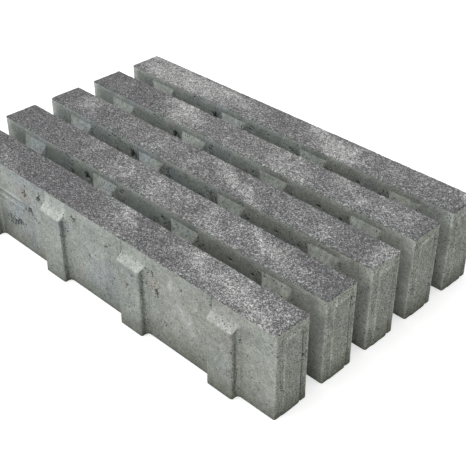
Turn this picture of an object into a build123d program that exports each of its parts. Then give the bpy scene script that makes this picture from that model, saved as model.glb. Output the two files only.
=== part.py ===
from build123d import *
import os

# A concrete lamella paving stone: five upright bars joined by low webs, cast as one piece.
# X runs along the bars, Y across them and Z up. The origin is the middle of the underside.

# Bars
bar_count = 5
bar_length = 596.0
bar_width = 51.5
bar_height = 120.0
bar_gap = 27.5
corner_radius = 2.5
arris_radius = 1.5

# Stations along the bars, where the webs cross the gaps
station_count = 4
station_pitch = 151.0

# Webs: a straight waist that flares out to meet the bars, and a trough along the top
web_waist = 37.0
web_flare = 6.0
web_top_drop = 10.0
trough_depth = 15.0
trough_floor = 14.0

# Spacer nubs on the two long outer faces, set a little to the left of the stations
nub_offset = -3.5
nub_depth = 10.5
nub_base_width = 42.0
nub_face_width = 40.0
nub_edge_radius = 3.0
nub_root_radius = 3.5
nub_top_drop = 19.0
nub_slope_drop = 5.5

# Spacer pads on the ends of the bars
pad_depth = 2.0
pad_base_width = 29.5
pad_face_width = 25.0
pad_shoulder_radius = 3.0
pad_top_drop = 10.5
pad_slope_drop = 2.5

# Sizes that follow from the ones above
gap_count = bar_count - 1
bar_pitch = bar_width + bar_gap
block_width = gap_count * bar_pitch + bar_width
web_height = bar_height - web_top_drop


def tapered_plan(depth, base_width, face_width):
    """Plan of a spacer that narrows along +Y from a wall at y = 0."""
    with BuildSketch() as plan:
        with BuildLine():
            Polyline(
                (-base_width / 2, 0),
                (-face_width / 2, depth),
                (face_width / 2, depth),
                (base_width / 2, 0),
                close=True,
            )
        make_face()
    return plan.sketch


def raised(plan, depth, height, slope_drop):
    """A spacer's plan raised from the ground to a height, with a top that slopes down away from the wall."""
    with BuildPart() as body:
        extrude(plan, amount=height)
        with BuildSketch(Plane.YZ):
            with BuildLine():
                Polyline((0, height), (depth, height), (depth, height - slope_drop), close=True)
            make_face()
        extrude(amount=plan.bounding_box().size.X, both=True, mode=Mode.SUBTRACT)
    return body.part


# A nub's plan, with rounded edges and a strip of the wall that its foot is rounded into
with BuildSketch() as nub_plan:
    add(tapered_plan(nub_depth, nub_base_width, nub_face_width))
    fillet(nub_plan.vertices().group_by(Axis.Y)[-1], radius=nub_edge_radius)
    with Locations((0, -nub_root_radius / 2)):
        Rectangle(nub_base_width + 4 * nub_root_radius, nub_root_radius)
    fillet(nub_plan.vertices().group_by(Axis.Y)[1].sort_by(Axis.X)[1:-1], radius=nub_root_radius)

nub = raised(nub_plan.sketch, nub_depth, bar_height - nub_top_drop, nub_slope_drop)

# A pad, with the shoulders of its sloping top rounded
with BuildPart() as pad:
    pad_plan = tapered_plan(pad_depth, pad_base_width, pad_face_width)
    add(raised(pad_plan, pad_depth, bar_height - pad_top_drop, pad_slope_drop))
    slope = pad.faces().sort_by(Axis.Z)[-1]
    fillet(slope.edges().filter_by(Axis.X, reverse=True), radius=pad_shoulder_radius)

# Plan of one web, drawn as a quarter and mirrored twice
with BuildSketch() as web_plan:
    with BuildLine():
        Polyline(
            (0, bar_gap / 2),
            (web_waist / 2 + web_flare, bar_gap / 2),
            (web_waist / 2, bar_gap / 2 - web_flare),
            (web_waist / 2, 0),
        )
        mirror(about=Plane.YZ)
        mirror(about=Plane.XZ)
    make_face()

# Section of the trough over one gap, with its rim at the height where the webs meet the bars
with BuildSketch() as trough_section:
    with BuildLine():
        Polyline(
            (-bar_gap / 2, web_height),
            (-trough_floor / 2, web_height - trough_depth),
            (trough_floor / 2, web_height - trough_depth),
            (bar_gap / 2, web_height),
            close=True,
        )
    make_face()

with BuildPart() as paving_stone:
    # The bars, with the vertical corners of their ends eased
    with BuildSketch():
        with GridLocations(bar_length, bar_pitch, 1, bar_count):
            RectangleRounded(bar_length, bar_width, corner_radius)
    extrude(amount=bar_height)

    # Their top arrises
    fillet(paving_stone.faces().group_by(Axis.Z)[-1].edges(), radius=arris_radius)

    # The webs, one row of them across each gap
    with BuildSketch():
        with GridLocations(station_pitch, bar_pitch, station_count, gap_count):
            add(web_plan.sketch)
    extrude(amount=web_height)

    # The trough that runs over the webs along each gap
    with BuildSketch(Plane.YZ):
        with GridLocations(bar_pitch, bar_height, gap_count, 1):
            add(trough_section.sketch)
    extrude(amount=bar_length / 2, both=True, mode=Mode.SUBTRACT)

    # Nubs on both long faces
    for side, turn in ((1, 0), (-1, 180)):
        with Locations(Location((nub_offset, side * block_width / 2, 0), (0, 0, turn))):
            with GridLocations(station_pitch, bar_pitch, station_count, 1):
                add(nub)

    # Pads on both ends of every bar
    for side, turn in ((1, -90), (-1, 90)):
        with Locations(Location((side * bar_length / 2, 0, 0), (0, 0, turn))):
            with GridLocations(bar_pitch, bar_length, bar_count, 1):
                add(pad.part)

paving_stone.part.label = "paving_stone"

os.makedirs("parts", exist_ok=True)
export_step(paving_stone.part, "parts/paving_stone.step")
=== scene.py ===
import itertools
import math

import bpy
import numpy as np
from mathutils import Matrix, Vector


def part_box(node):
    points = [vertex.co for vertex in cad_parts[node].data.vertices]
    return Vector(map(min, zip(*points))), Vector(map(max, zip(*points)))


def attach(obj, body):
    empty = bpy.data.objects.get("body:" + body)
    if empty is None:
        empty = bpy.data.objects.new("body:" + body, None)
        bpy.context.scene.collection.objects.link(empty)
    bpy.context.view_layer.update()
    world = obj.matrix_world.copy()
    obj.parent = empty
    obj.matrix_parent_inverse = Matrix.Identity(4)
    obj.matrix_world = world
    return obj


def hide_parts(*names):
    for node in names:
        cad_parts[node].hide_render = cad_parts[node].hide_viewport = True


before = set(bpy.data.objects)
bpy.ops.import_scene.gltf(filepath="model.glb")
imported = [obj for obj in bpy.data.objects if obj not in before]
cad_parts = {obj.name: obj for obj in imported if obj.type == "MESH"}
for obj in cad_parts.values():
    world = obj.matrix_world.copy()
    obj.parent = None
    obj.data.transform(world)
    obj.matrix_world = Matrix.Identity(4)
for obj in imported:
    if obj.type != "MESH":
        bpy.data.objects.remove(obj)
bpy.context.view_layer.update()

# A concrete lamella paving stone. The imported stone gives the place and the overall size,
# and finer skins with cast, chipped and pitted surfaces stand for it.
# Lengths below are in millimetres, as in the part's own source, and MM turns them into metres.
MM = 0.001

_, packed_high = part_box("paving_stone")
STONE_END, _, HEIGHT = np.array(packed_high) / MM

# Bars
BAR_COUNT = 5
BAR_WIDTH = 51.5
BAR_GAP = 27.5
BAR_PITCH = BAR_WIDTH + BAR_GAP
BAR_CORNER = 2.5
FAR_CORNER = 1.2  # the corners that face away from the camera came out sharper
ARRIS = 1.5
PAD_DEPTH = 2.0
BAR_END = STONE_END - PAD_DEPTH

# Stations of the webs, and the middles of the spacer nubs a little to their left
STATION_COUNT = 4
STATION_PITCH = 151.0
STATIONS = STATION_PITCH * (np.arange(STATION_COUNT) - (STATION_COUNT - 1) / 2)
NUB_OFFSET = -3.5
NUB_MIDDLES = STATIONS + NUB_OFFSET

# Webs
WEB_WAIST = 37.0
WEB_FLARE = 6.0
WEB_TOP_DROP = 10.0
WEB_TOP = HEIGHT - WEB_TOP_DROP
TROUGH_DEPTH = 15.0
TROUGH_FLOOR = 14.0
WEB_ROOT = 2.0  # how far a web's skin reaches into the bars beside it

# Spacer nubs on the two long outer faces
NUB_DEPTH = 10.5
NUB_BASE = 42.0
NUB_FACE = 40.0
NUB_EDGE = 3.0
NUB_ROOT = 3.5
NUB_TOP_DROP = 19.0
NUB_TOP = HEIGHT - NUB_TOP_DROP
NUB_SLOPE = 5.5
NUB_WEAR = 1.2  # how far the cast front edge of the slope lies below the drawn one

# Lines that the mould leaves: in the wall above each nub's left edge, along its right flank, and beside
# each pad
CREASE_WIDTH = 2.4
CREASE_DEPTH = 2.2
FLANK_SCAR_OUT = 4.9
FLANK_SCAR_WIDTH = 5.6
FLANK_SCAR_DEPTH = 1.0
PAD_CREASE_WIDTH = 3.0
PAD_CREASE_DEPTH = 1.6

# Spacer pads on the bar ends
PAD_BASE = 29.5
PAD_FACE = 25.0
PAD_SHOULDER = 3.0
PAD_TOP_DROP = 10.5
PAD_TOP = HEIGHT - PAD_TOP_DROP
PAD_SLOPE = 2.5
PAD_FOOT_WEAR = 1.3
PAD_FOOT_TOP = 9.0

# Spacing of the skins' points, wider low down on the bars
BAR_STEP = 1.7
LOW_STEP = 2.3
LOW_DROP = 24.0
LOW_TOP = HEIGHT - LOW_DROP
WEB_STEP = 2.3

# How near a face or an edge a point counts as on it, and the same as a share of a rounded corner's radius
TOUCH = 0.01
CORNER_SLACK = 0.001

# How far each point moves towards the mean of its neighbours, as a share
EASE_PLAIN = 0.4
EASE_CRISP = 0.15
EASE_WEBS = 0.2
CRISP_FOOT = 3.0  # height of the foot that stays crisp

# Depths of the cast, worn surface
WAVE_DEPTH = 0.12
GRAIN_DEPTH = 0.1
COARSE_SAND_DEPTH = 0.06
FINE_SAND_DEPTH = 0.05
LARGE_CHIP_DEPTH = 1.5
SMALL_CHIP_DEPTH = 0.8
HOLE_DEPTH = 1.0
EDGE_REACH = 0.6  # how far softening moves a point that counts as fully on an edge

# Painted shade in scars and open pits: the depths at which it is darkest, and how dark it makes holes in
# the top
SCAR_SHADE_DEPTH = 1.2
PIT_SHADE_DEPTH = 0.9
HOLE_SHADE = 0.5

# How thick with small pits the bars' ends beside the pads and the webs are at most
MARGIN_PITTED = 0.7
WEBS_PITTED = 0.3

# How much lighter than plain concrete parts of the sides are, as shares, painted highlights and painted
# light among them
# Painted highlight on the rounded upright corners of the bars' ends
CORNER_HIGHLIGHT = 0.3
# Painted highlight on the pads' tops and lit sides
PAD_HIGHLIGHT = 0.35
BAND_ABOVE_PAD = 0.18
# Painted highlight on the fillets of the nubs' flanks, which face the light
NUB_FLANK_HIGHLIGHT = 0.4
# Painted highlight on the wall and fillet above the nubs' slopes, stronger at the left
ABOVE_NUB_HIGHLIGHT = 0.04
ABOVE_LEFT_NUB_HIGHLIGHT = 0.12
NUB_FILLET_HIGHLIGHT = 0.1
# Painted light that comes into the gaps at their open ends
OPEN_END_LIGHT = 0.36
LEFT_WEBS_PALE = 0.25
WEBS_PALE = 0.05

# How much darker parts of the sides are, as shares, painted shade in the gaps among them
END_FOOT_DULL = 0.04  # for each bar further back
NUB_FACE_DULL = 0.07
# Painted shade on the gaps' walls above the webs and in the dark pocket to their left
ABOVE_WEB_SHADE = 0.22
BESIDE_WEB_SHADE = 0.2
MIDDLE_GAP_DULL = 0.1
FAR_WEBS_DULL = 0.08

# Lines that the mould left along the first bar's left part, painted as a highlight with a painted shadow
# below, as (height, share paler)
MOULD_LINES = ((77.0, 0.45), (66.0, 0.28))
MOULD_LINE_EDGES = (2.2, 0.4)  # how far from its middle a line starts to show, and shows in full
MOULD_SHADOW_DROP = 3.5  # how far below a line its dark edge lies
MOULD_LINES_END = (-145, -165)


# Numbers that mix a lattice point's place and a seed into a random number
PLACE_FACTORS = np.array((73856093, 19349663, 83492791))
SEED_FACTOR = 2654435761
FIRST_FACTOR = 2246822519
SECOND_FACTOR = 3266489917
LOW_BITS = 0xFFFFFFFF
SEED_SHIFT = 7.31


def noise(points, size, seed):
    """Smooth noise from -1 to 1 with features about size across."""
    place = points / size + seed * SEED_SHIFT
    cell = np.floor(place).astype(np.int64)
    part = place - cell
    part = part * part * (3 - 2 * part)
    total = np.zeros(len(points))
    for corner in itertools.product((0, 1), repeat=3):
        key = (cell + corner) @ PLACE_FACTORS + seed * SEED_FACTOR
        key = (key ^ (key >> 15)) * FIRST_FACTOR & LOW_BITS
        key = (key ^ (key >> 13)) * SECOND_FACTOR & LOW_BITS
        value = (key ^ (key >> 16)) / 2**31 - 1
        total += value * np.where(corner, part, 1 - part).prod(axis=1)
    return total


def noise_pair(points, sizes, seeds):
    """Two columns of noise, to move places about in a plane."""
    return np.stack([noise(points, size, seed) for size, seed in zip(sizes, seeds)], axis=1)


def ramp(value, start, stop):
    """0 before start and 1 after stop, with a smooth step between them. Start may be the larger."""
    part = np.clip((value - start) / (stop - start), 0, 1)
    return part * part * (3 - 2 * part)


def nearest(values, x):
    """The one of values that is nearest to each x."""
    return values[np.abs(x[:, None] - values).argmin(axis=1)]


def bar_middle(bar):
    """Y of a bar's middle, the bars counted from the front."""
    return (bar - (BAR_COUNT - 1) / 2) * BAR_PITCH


def outer_side(bar):
    """-1 for the front bar, 1 for the back one, and 0 for those that have a gap on both sides."""
    return {0: -1, BAR_COUNT - 1: 1}.get(bar, 0)


def lattice_lines(keys, step):
    """Lines through every key position, no further apart than step."""
    keys = sorted(set(keys))
    spans = [
        np.linspace(first, last, math.ceil((last - first) / step), endpoint=False)
        for first, last in zip(keys, keys[1:])
    ]
    return np.concatenate(spans + [keys[-1:]])


def skin(lines, inside):
    """Points and outward quads of the closed skin round a lattice's filled cells."""
    middles = [(axis[1:] + axis[:-1]) / 2 for axis in lines]
    filled = np.pad(inside(*np.meshgrid(*middles, indexing="ij")), 1).astype(np.int8)
    counts = [len(axis) for axis in lines]
    quads = []
    for axis in range(3):
        change = np.diff(filled, axis=axis)
        across, along = np.eye(3, dtype=int)[[(axis + 1) % 3, (axis + 2) % 3]]
        for sign in (1, -1):
            base = np.argwhere(change == sign) - 1
            base[:, axis] += 1
            corners = np.stack([base, base + across, base + across + along, base + along], axis=1)
            quads.append(corners if sign < 0 else corners[:, ::-1])
    corners = np.concatenate(quads)
    keys = np.ravel_multi_index(np.moveaxis(corners, -1, 0), counts)
    used, faces = np.unique(keys, return_inverse=True)
    places = np.unravel_index(used, counts)
    points = np.stack([axis[place] for axis, place in zip(lines, places)], axis=1)
    return points, faces.reshape(-1, 4)


def rounded(first, second, middle, reach):
    """Pulls the points of a square corner onto an arc. Reach is its radius, signed towards the corner."""
    across = (first - middle[0]) / reach[0]
    along = (second - middle[1]) / reach[1]
    beside = (np.minimum(across, along) > 0) & (np.maximum(across, along) < 1 + CORNER_SLACK)
    pull = np.ones(len(first))
    pull[beside] = np.maximum(across, along)[beside] / np.hypot(across, along)[beside]
    return middle[0] + (first - middle[0]) * pull, middle[1] + (second - middle[1]) * pull


def ease(points, faces, strength):
    """Softens the edges and corners, by moving each point towards the mean of its neighbours."""
    pairs = np.concatenate([faces[:, [0, 1]], faces[:, [1, 2]], faces[:, [2, 3]], faces[:, [3, 0]]])
    start, end = np.concatenate([pairs, pairs[:, ::-1]]).T
    count = np.bincount(start, minlength=len(points))
    totals = [np.bincount(start, points[end, axis], len(points)) for axis in range(3)]
    mean = np.stack(totals, axis=1) / count[:, None]
    return points + (mean - points) * np.reshape(strength, (-1, 1))


def normals_of(points, faces):
    """Unit normals at the points."""
    first, second, third, fourth = (points[faces[:, corner]] for corner in range(4))
    normal = np.cross(third - first, fourth - second)
    corners = faces.ravel()
    totals = [np.bincount(corners, np.repeat(normal[:, axis], 4), len(points)) for axis in range(3)]
    total = np.stack(totals, axis=1)
    return total / np.linalg.norm(total, axis=1, keepdims=True)


# Clusters of air pits as (x, z, spread x, spread z, count). They come at the same places on the near face
# of every bar.
NEAR_CLUSTERS = (
    (-138, 70, 5, 3, 16),
    (-128, 62, 4, 2, 8),
    (-113, 99, 3, 3, 16),
    (-146, 92, 2, 4, 8),
    (-180, 35, 8, 4, 34),
    (-168, 40, 5, 3, 14),
    (-42, 103, 3, 3, 5),
    (-40, 96, 5, 4, 4),
    (22, 94, 3, 3, 5),
    (-14, 57, 3, 2, 5),
    (70, 68, 2, 2, 3),
    (110, 74, 4, 5, 9),
    (122, 35, 3, 2, 4),
    (102, 95, 6, 2, 5),
    (153, 100, 2, 2, 3),
    (47, 36, 3, 2, 4),
    (190, 18, 3, 3, 3),
)
# More of them on the near faces inside the gaps, most to the left of the webs
INNER_CLUSTERS = ((-114, 100, 4, 4, 6), (41, 103, 6, 4, 5), (192, 101, 5, 4, 3), (-150, 112, 12, 3, 4))
# Those on the far faces
FAR_CLUSTERS = ((-210, 60, 9, 6, 5), (-20, 90, 8, 5, 4), (140, 40, 9, 8, 5), (240, 84, 5, 7, 3))
CLUSTER_RADII = (0.9, 2.0)
STRAY_RADII = (0.9, 1.5)
STRAY_MARGINS = (4, 5)  # how far strays keep from the foot and from the top
FULL_CLUSTER = 8  # pits in a cluster that is fully pitted
PIT_FACING = 0.75  # how squarely the surface faces the way that the pits open
PIT_WANDER = 0.7  # how far the pits' rims stray from circles
PIT_SHARE = 1.1  # a pit's depth in radii
PIT_STEEPNESS = 0.7  # the power of its section, below 1 for a steep rim and a flat floor


def spread_pits(seed, clusters, strays):
    """Open pits as (x, z, radius) rows: those of the clusters, and some strays."""
    rng = np.random.default_rng(seed)
    pits = []
    for x, z, spread_x, spread_z, count in clusters:
        for _ in range(count):
            pits.append((rng.normal(x, spread_x), rng.normal(z, spread_z), rng.uniform(*CLUSTER_RADII)))
    for _ in range(strays):
        x = rng.uniform(-BAR_END, BAR_END)
        z = rng.uniform(STRAY_MARGINS[0], HEIGHT - STRAY_MARGINS[1])
        pits.append((x, z, rng.uniform(*STRAY_RADII)))
    return np.array(pits)


NEAR_PITS = spread_pits(11, NEAR_CLUSTERS, strays=50)
INNER_PITS = spread_pits(13, NEAR_CLUSTERS + INNER_CLUSTERS, strays=50)
FAR_PITS = spread_pits(12, FAR_CLUSTERS, strays=70)


def pit_depths(points, facing_share, pits):
    """Depth at each point of the open pits, in the faces that facing_share picks."""
    depth = np.zeros(len(points))
    near = np.flatnonzero(facing_share > PIT_FACING)
    place = points[near][:, [0, 2]] + PIT_WANDER * noise_pair(points[near], (3.0, 3.0), (31, 32))
    order = np.argsort(place[:, 0])
    sorted_x = place[order, 0]
    for x, z, radius in pits:
        first, last = np.searchsorted(sorted_x, (x - radius, x + radius))
        some = order[first:last]
        gap = np.hypot(place[some, 0] - x, place[some, 1] - z) / radius
        hole = PIT_SHARE * radius * np.clip(1 - gap**2, 0, 1) ** PIT_STEEPNESS
        depth[near[some]] = np.maximum(depth[near[some]], hole)
    return depth


def pitted_share(points, facing_share, clusters):
    """How thick with small pits the faces that facing_share picks are, from 0 to 1."""
    share = np.zeros(len(points))
    for x, z, spread_x, spread_z, count in clusters:
        reach = ((points[:, 0] - x) / spread_x) ** 2 + ((points[:, 2] - z) / spread_z) ** 2
        share += min(count / FULL_CLUSTER, 1) * np.exp(-reach / 3)
    return np.clip(share, 0, 1) * ramp(facing_share, 0.6, 0.8)


# Soft patches on the near long face, as (x, z, half length, half height, tint): pale above 0, tan below
TINTS = (
    (145, 100, 14, 10, 0.5),
    (135, 93, 4, 12, 0.8),
    (150, 72, 8, 7, 0.9),
    (163, 60, 9, 7, 1.0),
    (171, 45, 8, 5, 0.8),
    (-60, 60, 24, 30, 0.3),
    (10, 85, 26, 18, 0.3),
    (-150, 90, 18, 12, -0.7),
    (108, 80, 14, 12, -0.6),
    (235, 90, 16, 12, -0.5),
    (70, 60, 14, 14, -0.4),
    (205, 75, 8, 14, -0.4),
    (-100, 40, 20, 14, -0.4),
)

# Soft patches on the near long face, as (x, z, half length, half height, share lighter or darker)
SHADES = (
    (-206, 22, 20, 26, -0.35),
    (-165, 24, 46, 18, -0.15),
    (-140, 68, 14, 26, -0.15),
    (-200, 70, 16, 24, -0.1),
    (-62, 68, 22, 26, 0.14),
    (-62, 10, 26, 12, 0.18),
    (30, 78, 28, 24, -0.08),
    (22, 30, 14, 22, -0.13),
    (90, 62, 10, 24, 0.12),
    (152, 70, 20, 12, 0.12),
    (160, 14, 45, 18, -0.14),
    (192, 52, 14, 14, -0.08),
    (288, 60, 12, 50, 0.06),
)


def patched(points, patches):
    """The sum of soft patches in x and z at each point."""
    total = np.zeros(len(points))
    for x, z, half_length, half_height, strength in patches:
        reach = ((points[:, 0] - x) / half_length) ** 2 + ((points[:, 2] - z) / half_height) ** 2
        total += strength * np.exp(-reach)
    return total


# Pale patches on the top in a group for each bar, as (x, y from the bar's middle, half length,
# half width, strength)
PALE_PATCHES = (
    (
        (-190, -14, 48, 9, 0.16),
        (-15, 6, 48, 30, 0.08),
        (20, 16, 34, 12, 0.30),
        (25, -4, 36, 20, 0.14),
        (215, 0, 124, 52, 0.22),
        (150, 2, 36, 10, 0.16),
        (255, -16, 60, 12, 0.18),
    ),
    (
        (65, 2, 222, 80, 0.17),
        (-145, 12, 24, 14, 0.10),
        (-75, 4, 26, 20, 0.10),
        (4, 0, 14, 28, 0.06),
        (105, 0, 40, 26, 0.08),
        (165, 14, 28, 11, 0.18),
        (215, -6, 42, 20, 0.12),
    ),
    (
        (0, 0, 330, 80, 0.10),
        (-240, 6, 26, 22, 0.18),
        (-100, 4, 45, 24, 0.08),
        (-14, -6, 14, 20, 0.14),
        (22, 12, 40, 12, 0.20),
        (88, -14, 36, 12, 0.30),
        (195, 0, 60, 30, 0.08),
        (208, -8, 14, 16, 0.12),
        (292, 6, 18, 30, 0.26),
    ),
    (
        (80, 0, 255, 80, 0.15),
        (-242, -10, 34, 16, 0.12),
        (-128, 4, 48, 32, 0.22),
        (-130, 16, 32, 12, 0.30),
        (-28, -6, 12, 22, 0.10),
        (54, 10, 18, 14, 0.12),
        (88, -8, 24, 24, 0.20),
        (165, 14, 32, 11, 0.16),
        (240, 0, 50, 30, 0.08),
    ),
    (
        (140, 0, 195, 80, 0.17),
        (-240, 0, 80, 40, 0.38),
        (-150, -2, 56, 36, 0.26),
        (-85, 4, 60, 28, 0.20),
        (50, 16, 20, 11, 0.30),
        (100, -4, 34, 15, 0.40),
        (90, 0, 44, 22, 0.10),
        (292, 18, 14, 11, 0.32),
    ),
)
PATCH_LEAN = 0.4  # how far a patch's middle line shifts across the bar for each step along it
LEANING_LENGTH = 34  # the half length up to which a patch leans in full
PATCH_FLATNESS = 1.6  # 1 for a soft hill, more for a flat top with a steeper rim


def pale_at(points, bar):
    """How pale the top is at each point, in flat patches with ragged edges."""
    warped = points[:, :2] + 9 * noise_pair(points, (22.0, 18.0), (41, 42))
    warped += 4 * noise_pair(points, (8.0, 8.0), (46, 47))
    pale = 0.05 * noise(points, 16.0, 43) + 0.05 * noise(points, 8.0, 44)
    uneven = 1 + 0.25 * noise(points, 12.0, 45)
    for x, y, half_length, half_width, strength in PALE_PATCHES[bar]:
        # Small patches lean the way the topping was trowelled, from far left to near right
        along = warped[:, 0] - x
        lean = PATCH_LEAN * min(1, LEANING_LENGTH / half_length)
        across = warped[:, 1] - bar_middle(bar) - y + lean * along
        spread = (along / half_length) ** 2 + (across / half_width) ** 2
        pale += strength * uneven * np.exp(-(spread**PATCH_FLATNESS))
    return np.clip(pale, 0, 1)


def groove(away, width):
    """From 1 in the middle of a groove to 0 at its sides."""
    return np.clip(1 - 2 * np.abs(away) / width, 0, 1)


def nub_scars(points, normals):
    """Depths of the lines that the mould leaves above the nubs' left edges and on their right flanks."""
    x, y, z = points.T
    out = np.abs(y) - bar_middle(BAR_COUNT - 1) - BAR_WIDTH / 2
    from_edge = x - nearest(NUB_MIDDLES - NUB_BASE / 2, x)
    height = ramp(z, NUB_TOP - 2, NUB_TOP) * ramp(z, HEIGHT - 0.5, HEIGHT - 3)
    above_nub = CREASE_DEPTH * (out > -1) * height * groove(from_edge, CREASE_WIDTH)

    wander = 0.8 * noise(points, 6.0, 34) + 0.7 * noise(points, 2.5, 35)
    ragged = 0.75 + 0.35 * noise(points, 3.5, 37)
    on_flank = ramp(normals[:, 0], 0.5, 0.8) * ramp(z, NUB_TOP - 2, NUB_TOP - 9)
    on_flank *= np.abs(x) < BAR_END - BAR_CORNER - 1
    scar = groove(out + wander - FLANK_SCAR_OUT, FLANK_SCAR_WIDTH)
    return above_nub + FLANK_SCAR_DEPTH * on_flank * ragged * scar


def pad_creases(points, middle):
    """Depths of the creases beside the pads of the bar whose middle is given."""
    x, y, z = points.T
    at_end = (np.abs(x) > BAR_END - 1) * ramp(z, PAD_TOP - 3, PAD_TOP - 9)
    worn = 0.75 + 0.25 * noise(points, np.array((30.0, 30.0, 22.0)), 33)
    from_crease = y - middle - (PAD_BASE + PAD_CREASE_WIDTH) / 2
    return PAD_CREASE_DEPTH * at_end * worn * groove(from_crease, PAD_CREASE_WIDTH)


def margin_share(points, normals, middle):
    """How thick with small pits a bar's end is, beside its pads."""
    off = np.abs(points[:, 1] - middle)
    margin = ramp(off, PAD_BASE / 2 - 2, PAD_BASE / 2 + 1)
    margin *= ramp(off, BAR_WIDTH / 2, BAR_WIDTH / 2 - 3)
    margin *= ramp(np.abs(normals[:, 0]), 0.6, 0.8)
    return MARGIN_PITTED * margin * ramp(noise(points, 14.0, 36), -0.1, 0.5)


def bar_marks(points, normals, bar):
    """Depths of a bar's scars and open pits, how much painted shade they get, and how thick small pits
    are.
    """
    middle = bar_middle(bar)
    depth = nub_scars(points, normals) + pad_creases(points, middle)
    hollow_shade = depth / SCAR_SHADE_DEPTH
    pitted = margin_share(points, normals, middle)
    near = (NEAR_CLUSTERS, NEAR_PITS) if bar == 0 else (NEAR_CLUSTERS + INNER_CLUSTERS, INNER_PITS)
    for facing, clusters, pits in ((-1, *near), (1, FAR_CLUSTERS, FAR_PITS)):
        share = normals[:, 1] * facing
        open_pits = pit_depths(points, share, pits)
        depth += open_pits
        hollow_shade = np.maximum(hollow_shade, open_pits / PIT_SHADE_DEPTH)
        pitted += pitted_share(points, share, clusters)
    return depth, hollow_shade, pitted


def roughen(points, faces, raw, bar=None):
    """Moves the softened skin inwards to its cast, worn surface. Raw is the skin before it was softened.

    Returns the points, their normals and the named numbers that the material reads at them.
    """
    normals = normals_of(points, faces)
    z = points[:, 2]
    edge = np.clip(((raw - points) * normals).sum(axis=1) / EDGE_REACH, 0, 1)
    edge *= 0.15 + 0.25 * ramp(z, 4, 26) + 0.6 * ramp(z, HEIGHT - 16, HEIGHT - 4)
    top = ramp(normals[:, 2], 0.6, 0.9) * ramp(z, HEIGHT - 4, HEIGHT - 2)
    wave = WAVE_DEPTH * (1 + noise(points, 70.0, 1))
    grain = GRAIN_DEPTH * (2 + noise(points, 4.5, 2) + noise(points, 2.2, 3))
    sand = COARSE_SAND_DEPTH * (1 + noise(points, 7.0, 4)) + FINE_SAND_DEPTH * (1 + noise(points, 2.6, 5))
    chips = LARGE_CHIP_DEPTH * ramp(noise(points, 8.0, 6), 0.3, 0.9)
    chips += SMALL_CHIP_DEPTH * ramp(noise(points, 3.2, 7), 0.0, 0.8)
    holes = HOLE_DEPTH * top * ramp(noise(points, 4.5, 8), 0.6, 0.85)
    above_foot = 0.3 + 0.7 * ramp(z, 2, 12)
    depth = (wave + (1 - top) * sand) * above_foot + top * grain + edge * chips + holes
    # Painted shade in the top's holes
    hollow_shade = HOLE_SHADE * holes
    pitted = np.zeros(len(points))
    if bar is not None:
        marks, marks_shade, pitted = bar_marks(points, normals, bar)
        depth += marks
        hollow_shade = np.maximum(hollow_shade, marks_shade)
    attributes = {"hollow_shade": np.clip(hollow_shade, 0, 1), "pitted": np.clip(pitted, 0, 1)}
    return points - normals * depth[:, None], normals, attributes


def end_tone(points, normals, bar):
    """Shares lighter or darker on a bar's ends: painted highlights on corners and pads, and feet duller
    further back.
    """
    x, y, z = points.T
    off = np.abs(y - bar_middle(bar))
    to_end = BAR_END - np.abs(x)
    # Painted highlight down the rounded corners of the end
    corner = ramp(to_end, 4, 1) * ramp(BAR_WIDTH / 2 - off, 4, 1) * ramp(z, HEIGHT - 2, HEIGHT - 10)
    tone = corner * (CORNER_HIGHLIGHT + 0.15 * noise(points, 7.0, 51))

    # Painted highlight on the tops of the pads, and on their near sides at the right end, or their far
    # sides at the left one
    on_pad = (to_end < 0.2) & (off < PAD_BASE / 2 + 0.5) & (z < PAD_TOP + 1)
    tone += PAD_HIGHLIGHT * on_pad * ramp(normals[:, 2] - normals[:, 1] * np.sign(x) * 0.9, 0.2, 0.5)

    on_end = ramp(to_end, 1.5, 0.5)
    tone += BAND_ABOVE_PAD * on_end * ramp(z, PAD_TOP - 1, PAD_TOP + 2)
    return tone - END_FOOT_DULL * bar * on_end * ramp(z, 34, 8)


def outer_tone(points, normals, bar):
    """Shares lighter or darker on the nubs of an outer face and on the wall above them, painted
    highlights among them.
    """
    x, y, z = points.T
    out = (y - bar_middle(bar)) * outer_side(bar) - BAR_WIDTH / 2
    on_face = ramp(out, NUB_DEPTH - 2, NUB_DEPTH - 0.5) * ramp(z, NUB_TOP - 4, NUB_TOP - 8)
    # Painted highlight on the nubs' flank fillets
    on_flank = ramp(np.abs(normals[:, 0]), 0.2, 0.6) * ramp(out, 5, 1.5) * ramp(out, -0.5, 0.5)
    at_nub = np.abs(x - nearest(NUB_MIDDLES, x)) < NUB_BASE / 2 + 1
    above = at_nub * ramp(z, NUB_TOP - 8, NUB_TOP - 5) * ramp(out, -1, 0)
    fillet = ramp(z, NUB_TOP - 1, NUB_TOP) * ramp(z, NUB_TOP + 8, NUB_TOP + 3)
    # Painted highlight above the nubs, strongest in the fillet
    highlight_above = ABOVE_NUB_HIGHLIGHT + ABOVE_LEFT_NUB_HIGHLIGHT * ramp(x, 0, -60) + NUB_FILLET_HIGHLIGHT * fillet
    return NUB_FLANK_HIGHLIGHT * on_flank - NUB_FACE_DULL * on_face + above * highlight_above


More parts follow.
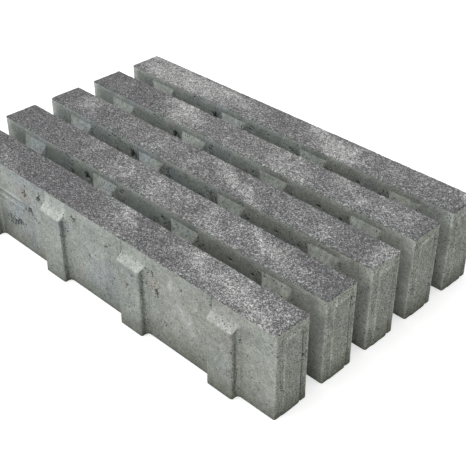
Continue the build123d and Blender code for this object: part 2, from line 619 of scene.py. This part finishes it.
def inner_tone(points, normals, facing):
    """Shares lighter or darker on a wall in a gap: painted shade round the webs, painted light at the
    open ends.
    """
    x, _, z = points.T
    ragged = noise(points, 7.0, 51)
    station = x - nearest(STATIONS, x)
    near_end = ramp(BAR_END - np.abs(x), 20, 4) * np.maximum(ramp(z, 75, 45), ramp(z, 92, 104))
    over_web = ramp(np.abs(station), 25, 21) * ramp(z, WEB_TOP - 3, WEB_TOP)
    left_of_web = ramp(station, -46, -30) * ramp(station, -19, -23) * ramp(z, 108, 100)
    # Painted light coming in at the gaps' open ends
    tone = near_end * (OPEN_END_LIGHT + 0.1 * ragged)
    # Painted shade above the webs and in the pocket to their left
    tone -= ABOVE_WEB_SHADE * over_web * ramp(x, -160, 0)
    tone -= left_of_web * (BESIDE_WEB_SHADE + 0.15 * ragged) * ramp(x, -180, -60)
    tone -= MIDDLE_GAP_DULL * ramp(x, 60, 90) * ramp(x, 215, 180)
    return tone * ramp(normals[:, 1] * facing, 0.5, 0.8)


def mould_line_tone(points):
    """Shares lighter or darker at the mould's lines: a painted highlight on each, with a painted shadow
    below.
    """
    x, _, z = points.T
    tone = np.zeros(len(points))
    for line, share in MOULD_LINES:
        lit = ramp(np.abs(z - line), *MOULD_LINE_EDGES)
        shadow = ramp(np.abs(z - line + MOULD_SHADOW_DROP), *MOULD_LINE_EDGES)
        tone += share * (lit - shadow)
    return tone * ramp(x, *MOULD_LINES_END)


def wall_tone(points, normals, bar):
    """How much lighter or darker than plain concrete a bar's sides are at each point, as a share, painted
    highlights and shade included.
    """
    tone = end_tone(points, normals, bar)
    if outer_side(bar):
        tone += outer_tone(points, normals, bar)
    for facing in (-1, 1):
        if facing != outer_side(bar):
            tone += inner_tone(points, normals, facing)
    if bar == 0:
        tone += mould_line_tone(points)
    return tone


def add_piece(name, points, faces, attributes, material):
    """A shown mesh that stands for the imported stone, with named numbers at its points."""
    mesh = bpy.data.meshes.new(name)
    mesh.from_pydata((points * MM).tolist(), [], faces.tolist())
    mesh.shade_smooth()
    for title, values in attributes.items():
        layer = mesh.attributes.new(title, "FLOAT", "POINT")
        layer.data.foreach_set("value", values.astype(np.float32))
    mesh.materials.append(material)
    piece = bpy.data.objects.new(name, mesh)
    bpy.context.scene.collection.objects.link(piece)
    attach(piece, "root")
    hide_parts("paving_stone")
    return piece


def bar_lines(bar):
    """Lattice lines for a bar's skin."""
    middle = bar_middle(bar)
    half = BAR_WIDTH / 2
    outer = outer_side(bar)
    ends = (BAR_END + PAD_DEPTH, BAR_END, BAR_END - FAR_CORNER, BAR_END - BAR_CORNER)
    sides = (half, half - ARRIS, PAD_BASE / 2, PAD_BASE / 2 - PAD_SHOULDER)
    x_keys = [sign * end for sign in (-1, 1) for end in ends]
    y_keys = [middle + sign * side for sign in (-1, 1) for side in sides]
    y_keys += [middle + PAD_BASE / 2 + crease for crease in (PAD_CREASE_WIDTH / 2, PAD_CREASE_WIDTH)]
    z_keys = [LOW_TOP, PAD_TOP - PAD_SHOULDER, PAD_TOP, HEIGHT - ARRIS, HEIGHT]
    if outer:
        nub_half = NUB_BASE / 2
        edges = (nub_half - NUB_EDGE, nub_half, nub_half + NUB_ROOT)
        creases = (nub_half - CREASE_WIDTH / 2, nub_half + CREASE_WIDTH / 2)
        steps_out = (NUB_ROOT, NUB_DEPTH - NUB_EDGE, NUB_DEPTH)
        x_keys += [nub + sign * edge for nub in NUB_MIDDLES for sign in (-1, 1) for edge in edges]
        x_keys += [nub - crease for nub in NUB_MIDDLES for crease in creases]
        y_keys += [middle + outer * (half + out) for out in steps_out]
        z_keys += [NUB_TOP, NUB_TOP + NUB_ROOT]
    low_lines = lattice_lines([0, LOW_TOP], LOW_STEP)
    z_lines = np.concatenate([low_lines[:-1], lattice_lines(z_keys, BAR_STEP)])
    return [lattice_lines(x_keys, BAR_STEP), lattice_lines(y_keys, BAR_STEP), z_lines]


def in_bar(bar, x, y, z):
    """Whether places are inside a bar with its pads and nubs, before these taper."""
    off = abs(y - bar_middle(bar))
    in_body = (abs(x) < BAR_END) & (off < BAR_WIDTH / 2)
    in_pad = (abs(x) > BAR_END) & (off < PAD_BASE / 2) & (z < PAD_TOP)
    at_nub = np.any([abs(x - nub) < NUB_BASE / 2 for nub in NUB_MIDDLES], axis=0)
    in_nub = at_nub & (off > BAR_WIDTH / 2) & (abs(x) < BAR_END) & (z < NUB_TOP)
    return in_body | in_pad | in_nub


def round_body(x, off, z, far, pad_out):
    """Rounds a bar's own edges and the shoulders of its pads.

    Off is the distance from the bar's middle line. Returns x, off, z and which points are on a pad.
    """
    half = BAR_WIDTH / 2
    end = np.sign(x)
    reach = abs(x)
    for corner, chosen in ((BAR_CORNER, ~far), (FAR_CORNER, far)):
        middle = (BAR_END - corner, half - corner)
        round_reach, round_off = rounded(reach, off, middle, (corner, corner))
        reach = np.where(chosen, round_reach, reach)
        off = np.where(chosen, round_off, off)
    off, z = rounded(off, z, (half - ARRIS, HEIGHT - ARRIS), (ARRIS, ARRIS))
    reach, z = rounded(reach, z, (BAR_END - ARRIS, HEIGHT - ARRIS), (ARRIS, ARRIS))

    on_pad = (reach > BAR_END - TOUCH) & (off < PAD_BASE / 2 + TOUCH) & (z < PAD_TOP + TOUCH)
    pad_half = PAD_BASE / 2 - pad_out * (PAD_BASE - PAD_FACE) / 2
    shoulder = (pad_half - PAD_SHOULDER, PAD_TOP - PAD_SHOULDER)
    round_off, round_z = rounded(off, z, shoulder, (PAD_SHOULDER, PAD_SHOULDER))
    return end * reach, np.where(on_pad, round_off, off), np.where(on_pad, round_z, z), on_pad


def round_nubs(x, out, z, nub, chosen):
    """Rounds the nubs' feet into the wall beside and above them, and their outer edges.

    Out is the distance from the wall, nub the middle of the nearest nub, and chosen the face's points.
    """
    x_off = abs(x - nub)
    root = (-NUB_ROOT, -NUB_ROOT)
    low = chosen & (z < NUB_TOP + TOUCH)
    low_x, low_out = rounded(x_off, out, (NUB_BASE / 2 + NUB_ROOT, NUB_ROOT), root)
    edge = (NUB_FACE / 2 - NUB_EDGE, NUB_DEPTH - NUB_EDGE)
    low_x, low_out = rounded(low_x, low_out, edge, (NUB_EDGE, NUB_EDGE))

    above = chosen & (z > NUB_TOP - TOUCH) & (z < NUB_TOP + NUB_ROOT + TOUCH)
    above &= x_off < NUB_BASE / 2 + TOUCH
    above_out, above_z = rounded(out, z, (NUB_ROOT, NUB_TOP + NUB_ROOT), root)

    x = np.where(low, nub + np.sign(x - nub) * low_x, x)
    out = np.where(above, above_out, np.where(low, low_out, out))
    return x, out, np.where(above, above_z, z)


def shape_bar(grid, bar):
    """Tapers, rounds and slopes the lattice points of a bar's skin.

    Returns the points, the points with square edges, and which stay crisp.
    """
    x, y, z = grid.T
    half = BAR_WIDTH / 2
    middle = bar_middle(bar)
    outer = outer_side(bar)
    side = np.sign(y - middle)
    off = abs(y - middle)

    # Taper the nubs and the pads
    nub = nearest(NUB_MIDDLES, x)
    nub_out = np.clip((off - half) / NUB_DEPTH, 0, 1)
    x = nub + (x - nub) * (1 - nub_out * (1 - NUB_FACE / NUB_BASE))
    pad_out = np.clip((abs(x) - BAR_END) / PAD_DEPTH, 0, 1)
    off = off * (1 - pad_out * (1 - PAD_FACE / PAD_BASE))
    square_x, square_y = x, middle + side * off

    far = side > 0
    x, off, z, on_pad = round_body(x, off, z, far, pad_out)
    on_outer_face = (outer != 0) & (side == outer) & (off > half - TOUCH)
    x, out, z = round_nubs(x, off - half, z, nub, on_outer_face)
    y = middle + side * (half + out)

    # Slope the tops of the nubs and the pads, and wear the pads' feet
    nub_out = np.clip(out / NUB_DEPTH, 0, 1)
    z = z * (1 - nub_out * (NUB_SLOPE + NUB_WEAR) / NUB_TOP) * (1 - pad_out * PAD_SLOPE / PAD_TOP)
    x = x - np.sign(x) * pad_out * PAD_FOOT_WEAR * ramp(z, PAD_FOOT_TOP, 0)

    square_z = np.where(grid[:, 2] > HEIGHT - TOUCH, HEIGHT, z)
    at_far_corner = far & (abs(x) > BAR_END - FAR_CORNER)
    crisp = (nub_out > TOUCH) | (pad_out > TOUCH) | on_pad | (z < CRISP_FOOT) | at_far_corner
    return np.stack([x, y, z], axis=1), np.stack([square_x, square_y, square_z], axis=1), crisp


def add_bar(bar, material):
    """One bar with its end pads, and the nubs where it has an outer face."""
    grid, faces = skin(bar_lines(bar), lambda x, y, z: in_bar(bar, x, y, z))
    shaped, square, crisp = shape_bar(grid, bar)
    softened = ease(shaped, faces, np.where(crisp, EASE_CRISP, EASE_PLAIN))
    points, normals, attributes = roughen(softened, faces, square, bar)
    on_near_face = ramp(-normals[:, 1], 0.6, 0.8) * (bar == 0)
    attributes["pale"] = pale_at(points, bar)
    attributes["tint"] = patched(points, TINTS) * on_near_face
    attributes["tone"] = wall_tone(points, normals, bar) + patched(points, SHADES) * on_near_face
    return add_piece(f"bar_{bar + 1}", points, faces, attributes, material)


def web_tone(points):
    """How much lighter or darker than plain concrete the webs are: palest at the left, with runs down."""
    x, y, _ = points.T
    runs = noise(points, np.array((2.8, 30.0, 30.0)), 61) + noise(points, 4.5, 62)
    left = LEFT_WEBS_PALE * ramp(x, 20, -60)
    return left - FAR_WEBS_DULL * ramp(y, 40, 100) + 0.2 * runs + WEBS_PALE


def web_skin(middle, station):
    """Points and quads of one web, between bars that meet it at both sides of the middle."""
    half_base = WEB_WAIST / 2 + WEB_FLARE
    half_gap = BAR_GAP / 2
    half_floor = TROUGH_FLOOR / 2
    x_keys = (station - half_base, station + half_base)
    across = (half_gap + WEB_ROOT, half_gap, half_gap - WEB_FLARE, half_floor)
    y_keys = [middle + side * off for side in (-1, 1) for off in across]
    lines = [lattice_lines(keys, WEB_STEP) for keys in (x_keys, y_keys, (0, WEB_TOP))]
    points, faces = skin(lines, lambda x, y, z: np.full(x.shape, True))

    x, y, z = points.T
    off = abs(y - middle)
    half = WEB_WAIST / 2 + np.clip(off - half_gap + WEB_FLARE, 0, WEB_FLARE)
    x = station + (x - station) * half / half_base
    # The trough's slopes go on rising inside the bars
    rise = np.maximum((off - half_floor) / (half_gap - half_floor), 0)
    z = z * (1 - TROUGH_DEPTH * (1 - rise) / WEB_TOP)
    return np.stack([x, y, z], axis=1), faces


def add_webs(material):
    """All the webs as one mesh of small closed solids, which reach into the bars beside them."""
    groups = []
    start = 0
    for gap, station in itertools.product(range(BAR_COUNT - 1), STATIONS):
        points, faces = web_skin(bar_middle(gap) + BAR_PITCH / 2, station)
        groups.append((points, faces + start))
        start += len(points)
    raw, faces = (np.concatenate(parts) for parts in zip(*groups))
    points, _, attributes = roughen(ease(raw, faces, EASE_WEBS), faces, raw)
    attributes["pale"] = attributes["tint"] = np.zeros(len(points))
    attributes["pitted"] = WEBS_PITTED * ramp(noise(points, 9.0, 63), 0, 0.6)
    attributes["tone"] = web_tone(points)
    return add_piece("webs", points, faces, attributes, material)


# How much larger the radii of the material's pits are where the surface is fully pitted, in cells
PITTED_GROWTH = 0.14

# The mix node's colour sockets, which share their names with its sockets for numbers
MIX_FIRST = 6
MIX_SECOND = 7
MIX_RESULT = 2


class Nodes:
    """Short ways to add shader nodes to one material."""

    def __init__(self, name):
        self.material = bpy.data.materials.new(name)
        self.material.use_nodes = True
        self.tree = self.material.node_tree
        self.shader = self.tree.nodes["Principled BSDF"]
        coordinates = self.tree.nodes.new("ShaderNodeTexCoord")
        self.place = coordinates.outputs["Object"]

    def link(self, value, socket):
        """Feeds a node's output, a number or a colour to a socket."""
        if isinstance(value, bpy.types.NodeSocket):
            self.tree.links.new(value, socket)
        elif isinstance(value, tuple):
            socket.default_value = (*value, 1)
        else:
            socket.default_value = value

    def math(self, operation, first, second=0.0, third=0.0):
        """A number worked out from up to three others."""
        node = self.tree.nodes.new("ShaderNodeMath")
        node.operation = operation
        for socket, value in zip(node.inputs, (first, second, third)):
            self.link(value, socket)
        return node.outputs[0]

    def mix(self, factor, first, second, blend="MIX"):
        """A mix of two colours."""
        node = self.tree.nodes.new("ShaderNodeMix")
        node.data_type = "RGBA"
        node.blend_type = blend
        self.link(factor, node.inputs["Factor"])
        self.link(first, node.inputs[MIX_FIRST])
        self.link(second, node.inputs[MIX_SECOND])
        return node.outputs[MIX_RESULT]

    def scaled(self, colour, amount):
        """A colour times a number."""
        node = self.tree.nodes.new("ShaderNodeVectorMath")
        node.operation = "SCALE"
        self.link(colour, node.inputs[0])
        self.link(amount, node.inputs["Scale"])
        return node.outputs[0]

    def noise(self, size, detail=2.0, roughness=0.5, stretch=(1, 1, 1)):
        """Noise from 0 to 1 with features about size millimetres across."""
        scaled = self.tree.nodes.new("ShaderNodeVectorMath")
        scaled.operation = "MULTIPLY"
        self.link(self.place, scaled.inputs[0])
        scaled.inputs[1].default_value = [1 / (size * MM * factor) for factor in stretch]
        node = self.tree.nodes.new("ShaderNodeTexNoise")
        self.link(scaled.outputs[0], node.inputs["Vector"])
        node.inputs["Scale"].default_value = 1.0
        node.inputs["Detail"].default_value = detail
        node.inputs["Roughness"].default_value = roughness
        return node.outputs[0]

    def grains(self, size):
        """Cells about size millimetres across: distance from the middle, and three random numbers."""
        node = self.tree.nodes.new("ShaderNodeTexVoronoi")
        self.link(self.place, node.inputs["Vector"])
        node.inputs["Scale"].default_value = 1 / (size * MM)
        return node.outputs["Distance"], *(self.part(node.outputs["Color"], axis) for axis in range(3))

    def pits(self, size, pitted, shares, radii):
        """1 in round pits and 0 outside.

        Shares are how many cells have one, plain and where pitted is 1. Radii are the smallest and the
        largest, in cells, and both are PITTED_GROWTH larger where pitted is 1.
        """
        distance, _, chance, luck = self.grains(size)
        share = self.math("MULTIPLY_ADD", pitted, shares[1] - shares[0], shares[0])
        radius = self.math("MULTIPLY_ADD", luck, radii[1] - radii[0], radii[0])
        radius = self.math("MULTIPLY_ADD", pitted, PITTED_GROWTH, radius)
        has_pit = self.math("LESS_THAN", chance, share)
        return self.math("MULTIPLY", has_pit, self.math("LESS_THAN", distance, radius))

    def step(self, value, start, stop, low=0.0, high=1.0):
        """Value mapped smoothly from start..stop to low..high."""
        node = self.tree.nodes.new("ShaderNodeMapRange")
        node.interpolation_type = "SMOOTHSTEP"
        self.link(value, node.inputs["Value"])
        for title, number in zip(("From Min", "From Max", "To Min", "To Max"), (start, stop, low, high)):
            node.inputs[title].default_value = number
        return node.outputs[0]

    def spread(self, value, share):
        """A number near 1 from one in 0..1, up to share more or less."""
        return self.math("MULTIPLY_ADD", value, 2 * share, 1 - share)

    def attribute(self, name):
        """One of the named numbers at the mesh's points."""
        node = self.tree.nodes.new("ShaderNodeAttribute")
        node.attribute_name = name
        return node.outputs["Fac"]

    def part(self, vector, axis):
        """One of a vector's or a colour's three numbers."""
        node = self.tree.nodes.new("ShaderNodeSeparateXYZ")
        self.link(vector, node.inputs[0])
        return node.outputs[axis]


# Concrete colours, as linear light
SIDE_GREY = (0.312, 0.334, 0.312)
SIDE_OLIVE = (0.316, 0.332, 0.294)
SIDE_BLUE = (0.296, 0.325, 0.331)
SIDE_TAN = (0.338, 0.312, 0.272)
SIDE_LIGHT = (0.405, 0.42, 0.40)
# Paler laitance, which on upward-facing slopes also stands for light from above
LAITANCE_AND_TOP_LIGHT = (0.435, 0.45, 0.425)
# Painted shade in pits, scars, creases and holes
HOLLOW_SHADE = (0.04, 0.045, 0.04)
TOP_LOW = (0.078, 0.078, 0.081)
TOP_LOW_PALE = (0.125, 0.125, 0.125)
TOP_HIGH = (0.39, 0.385, 0.39)
TOP_HIGH_PALE = (0.80, 0.795, 0.79)

# What a film of damp or slurry leaves of the colour under it; at the feet also painted shade
END_FILM = (0.86, 0.86, 0.81)
END_FILM_SHARE = 0.6  # how much of the ends the film covers
DAMP_AND_SHADE = (0.6, 0.6, 0.56)

# How matt the concrete is
ROUGHNESS = 0.92
SPECULAR = 0.25

# Sizes of the grains and of the cells that the material's pits lie in, and how dark the painted shade in
# these pits is
FINE_GRAIN = 1.0
COARSE_GRAIN = 2.1
SMALL_PIT_CELL = 2.6
LARGE_PIT_CELL = 4.6
PIT_SHADE = 0.88

# The topping: the share of coarse grains' cells that stay fine, the power that sets how few of its
# grains are light, plain and in the pale patches, and the heights that it ends between, below the top
FINE_SHARE = 0.8
PLAIN_POWER = 3.2
PALE_POWER = 1.8
TOPPING_EDGES = (1.2, 0.6)

# Bumps too fine for the skins, and the height of the topping's grains beside the rest
BUMP_STRENGTH = 0.5
BUMP_DEPTH = 0.8
GRAIN_BUMP = 0.8


def cast_side(nodes, along, upward):
    """Clouds of a few greys, and on the upward-facing slopes paler laitance with painted light from
    above.
    """
    side = nodes.mix(nodes.step(along, -40, 200, 0, 0.75), SIDE_GREY, SIDE_OLIVE)
    bluer_left = nodes.step(along, 120, -60, 0.3, 1.0)
    blue = nodes.math("MULTIPLY", nodes.step(nodes.noise(50, 2), 0.45, 0.7), bluer_left)
    side = nodes.mix(blue, side, SIDE_BLUE)
    side = nodes.mix(nodes.step(nodes.noise(22, 3), 0.6, 0.8, 0, 0.5), side, SIDE_TAN)
    tint = nodes.attribute("tint")
    side = nodes.mix(nodes.step(tint, 0, -1), side, SIDE_TAN)
    side = nodes.mix(nodes.step(tint, 0, 1), side, SIDE_LIGHT)
    # Upward-facing slopes: laitance and painted light from above
    return nodes.mix(nodes.step(upward, 0.45, 0.8, 0, 0.85), side, LAITANCE_AND_TOP_LIGHT)


def textured_side(nodes, side, endward, fine_random):
    """The sides' colour with sand grains and mottle, and with drag marks up and down the ends."""
    # The tone attribute carries painted highlights, light and shade along with plain patches
    side = nodes.scaled(side, nodes.math("ADD", nodes.attribute("tone"), 1.0))
    at_end = nodes.step(endward, 0.6, 0.9)
    sand = nodes.math("SUBTRACT", fine_random, 0.5)
    sand = nodes.math("MULTIPLY", sand, nodes.math("MULTIPLY_ADD", at_end, 0.35, 0.55))
    side = nodes.scaled(side, nodes.math("ADD", sand, 1.0))
    side = nodes.scaled(side, nodes.spread(nodes.noise(5.0, 3, 0.6), 0.4))
    side = nodes.scaled(side, nodes.spread(nodes.noise(16, 2), 0.28))
    long_drag = nodes.math("SUBTRACT", nodes.noise(1.4, 2, 0.5, (1, 1, 12)), 0.5)
    short_drag = nodes.step(nodes.noise(1.2, 1, 0.5, (1, 1, 3)), 0.45, 0.32, 0, -0.45)
    drag = nodes.math("MULTIPLY", at_end, nodes.math("MULTIPLY_ADD", long_drag, 0.7, short_drag))
    side = nodes.scaled(side, nodes.math("ADD", drag, 1.0))
    filmed = nodes.mix(1.0, side, END_FILM, "MULTIPLY")
    return nodes.mix(nodes.math("MULTIPLY", at_end, END_FILM_SHARE), side, filmed)


def damp_and_shaded_feet(nodes, side, height):
    """The sides' colour with damp and painted shade at the feet, a little greener."""
    wavy_height = nodes.math("MULTIPLY_ADD", nodes.noise(25, 3), 16.0, height)
    # Damp and painted shade towards the feet
    side = nodes.mix(nodes.step(wavy_height, 48, 6), side, nodes.mix(1.0, side, DAMP_AND_SHADE, "MULTIPLY"))
    # Painted shade where the sides meet the floor, darkest at the very foot
    return nodes.scaled(side, nodes.step(height, 0, 8, 0.75, 1))


def pitted_side(nodes, side):
    """The sides' colour with small air pits as dots of painted shade, thicker in the pitted places, and a
    few larger ones.
    """
    pitted = nodes.attribute("pitted")
    small = nodes.pits(SMALL_PIT_CELL, pitted, shares=(0.15, 0.85), radii=(0.18, 0.38))
    large = nodes.pits(LARGE_PIT_CELL, pitted, shares=(0.05, 0.9), radii=(0.15, 0.28))
    either = nodes.math("MAXIMUM", small, large)
    return nodes.mix(nodes.math("MULTIPLY", either, PIT_SHADE), side, HOLLOW_SHADE)


def washed_top(nodes, fine_random):
    """The topping: each grain between a dark and a light one, both lighter in the pale patches.

    Returns the colour and the grains' lightness.
    """
    _, coarse_random, coarse_pick, _ = nodes.grains(COARSE_GRAIN)
    clouds = nodes.math("SUBTRACT", nodes.noise(4, 3, 0.65), 0.5)
    cloudy = nodes.math("MULTIPLY_ADD", clouds, 0.22, nodes.attribute("pale"))
    pale = nodes.step(cloudy, -0.06, 0.47)
    is_coarse = nodes.math("GREATER_THAN", coarse_pick, FINE_SHARE)
    change = nodes.math("SUBTRACT", coarse_random, fine_random)
    grain = nodes.math("MULTIPLY_ADD", is_coarse, change, fine_random)
    grain = nodes.math("POWER", grain, nodes.step(pale, 0, 1, PLAIN_POWER, PALE_POWER))
    low = nodes.mix(pale, TOP_LOW, TOP_LOW_PALE)
    high = nodes.mix(pale, TOP_HIGH, TOP_HIGH_PALE)
    return nodes.mix(grain, low, high), grain


def add_relief(nodes, grain, covered):
    """Fine relief below the skins' spacing, with the topping's grains where it covers the stone."""
    fine = nodes.math("MULTIPLY_ADD", nodes.noise(1.4, 3, 0.6), 0.5, nodes.noise(3.5, 2))
    relief = nodes.math("MULTIPLY_ADD", grain, nodes.math("MULTIPLY", covered, GRAIN_BUMP), fine)
    bump = nodes.tree.nodes.new("ShaderNodeBump")
    bump.inputs["Strength"].default_value = BUMP_STRENGTH
    bump.inputs["Distance"].default_value = BUMP_DEPTH * MM
    nodes.link(relief, bump.inputs["Height"])
    nodes.link(bump.outputs[0], nodes.shader.inputs["Normal"])


def concrete():
    """Raw grey-green cast concrete, with a washed topping of dark and light grains on the upper face."""
    nodes = Nodes("concrete")
    along = nodes.math("DIVIDE", nodes.part(nodes.place, 0), MM)
    height = nodes.math("DIVIDE", nodes.part(nodes.place, 2), MM)
    geometry = nodes.tree.nodes.new("ShaderNodeNewGeometry")
    upward = nodes.part(geometry.outputs["Normal"], 2)
    endward = nodes.math("ABSOLUTE", nodes.part(geometry.outputs["Normal"], 0))
    _, fine_random, _, _ = nodes.grains(FINE_GRAIN)

    side = cast_side(nodes, along, upward)
    side = textured_side(nodes, side, endward, fine_random)
    side = damp_and_shaded_feet(nodes, side, height)
    side = pitted_side(nodes, side)
    top, grain = washed_top(nodes, fine_random)

    # The topping ends raggedly just below the arrises
    ragged = nodes.math("MULTIPLY_ADD", nodes.noise(5, 3, 0.6), 2.0, height)
    covered = nodes.step(ragged, *(HEIGHT - edge for edge in TOPPING_EDGES))
    colour = nodes.mix(covered, side, top)
    # Painted shade in the pits, scars, creases and holes
    colour = nodes.mix(nodes.step(nodes.attribute("hollow_shade"), 0.2, 1, 0, 0.9), colour, HOLLOW_SHADE)
    nodes.link(colour, nodes.shader.inputs["Base Color"])
    nodes.shader.inputs["Roughness"].default_value = ROUGHNESS
    nodes.shader.inputs["Specular IOR Level"].default_value = SPECULAR
    add_relief(nodes, grain, covered)
    return nodes.material


# Values of the studio: the pale floor and how much it glows, and how bright the world is
FLOOR_HALF = 6.0  # metres
FLOOR_LIT = (0.6, 0.6, 0.6)
FLOOR_SEEN = (0.8, 0.8, 0.8)
FLOOR_GLOW = 0.5
WORLD_STRENGTH = 0.8


def white_floor():
    """A pale floor that the camera sees as white, and that keeps the stone's shadow."""
    mesh = bpy.data.meshes.new("floor")
    corners = [(x * FLOOR_HALF, y * FLOOR_HALF, 0) for x, y in ((-1, -1), (1, -1), (1, 1), (-1, 1))]
    mesh.from_pydata(corners, [], [(0, 1, 2, 3)])
    floor = bpy.data.objects.new("floor", mesh)
    bpy.context.scene.collection.objects.link(floor)
    nodes = Nodes("floor")
    rays = nodes.tree.nodes.new("ShaderNodeLightPath").outputs
    seen = nodes.math("MAXIMUM", rays["Is Camera Ray"], rays["Is Glossy Ray"])
    seen = nodes.math("MAXIMUM", seen, rays["Is Transmission Ray"])
    nodes.link(nodes.mix(seen, FLOOR_LIT, FLOOR_SEEN), nodes.shader.inputs["Base Color"])
    nodes.shader.inputs["Roughness"].default_value = 1.0
    nodes.shader.inputs["Specular IOR Level"].default_value = 0.0
    nodes.shader.inputs["Emission Color"].default_value = (1, 1, 1, 1)
    nodes.link(nodes.math("MULTIPLY", seen, FLOOR_GLOW), nodes.shader.inputs["Emission Strength"])
    mesh.materials.append(nodes.material)


def softbox(name, place, width, height, power):
    """A soft light from an unseen panel that looks at the stone. Its place and sizes are in metres."""
    lamp = bpy.data.lights.new(name, "AREA")
    lamp.shape = "RECTANGLE"
    lamp.size = width
    lamp.size_y = height
    lamp.energy = power
    light = bpy.data.objects.new(name, lamp)
    light.location = place
    light.rotation_euler = (-Vector(place)).to_track_quat("-Z", "Y").to_euler()
    light.visible_camera = False
    bpy.context.scene.collection.objects.link(light)


def world_light(strength):
    """Even white light from all round, seen as white."""
    world = bpy.data.worlds.new("studio")
    world.use_nodes = True
    tree = world.node_tree
    background = tree.nodes["Background"]
    background.inputs["Color"].default_value = (1, 1, 1, 1)
    rays = tree.nodes.new("ShaderNodeLightPath").outputs["Is Camera Ray"]
    level = tree.nodes.new("ShaderNodeMix")
    level.inputs["A"].default_value = strength
    level.inputs["B"].default_value = 1.0
    tree.links.new(rays, level.inputs["Factor"])
    tree.links.new(level.outputs[0], background.inputs["Strength"])
    bpy.context.scene.world = world


# The camera, solved from the photograph's straight edges: its place in millimetres, the way it looks,
# and its lens
CAMERA_PLACE = (768.2, -724.2, 748.7)
CAMERA_AIM = (-0.57530, 0.58331, -0.57339)
SENSOR = 36.0
FOCAL_PIXELS = 938.23
PICTURE_PIXELS = 466


def photo_camera():
    """The camera that took the photograph."""
    data = bpy.data.cameras.new("photo")
    data.sensor_width = SENSOR
    data.lens = SENSOR * FOCAL_PIXELS / PICTURE_PIXELS
    camera = bpy.data.objects.new("photo", data)
    camera.location = Vector(CAMERA_PLACE) * MM
    camera.rotation_euler = Vector(CAMERA_AIM).to_track_quat("-Z", "Y").to_euler()
    bpy.context.scene.collection.objects.link(camera)
    bpy.context.scene.camera = camera


stone_material = concrete()
for bar_index in range(BAR_COUNT):
    add_bar(bar_index, stone_material)
add_webs(stone_material)

white_floor()
world_light(WORLD_STRENGTH)
softbox("key", (-0.93, -1.94, 0.40), width=1.6, height=0.6, power=12.5)
softbox("overhead", (-0.3, -0.8, 2.1), width=1.6, height=1.0, power=10.5)
photo_camera()
bpy.context.scene.view_settings.view_transform = "Standard"
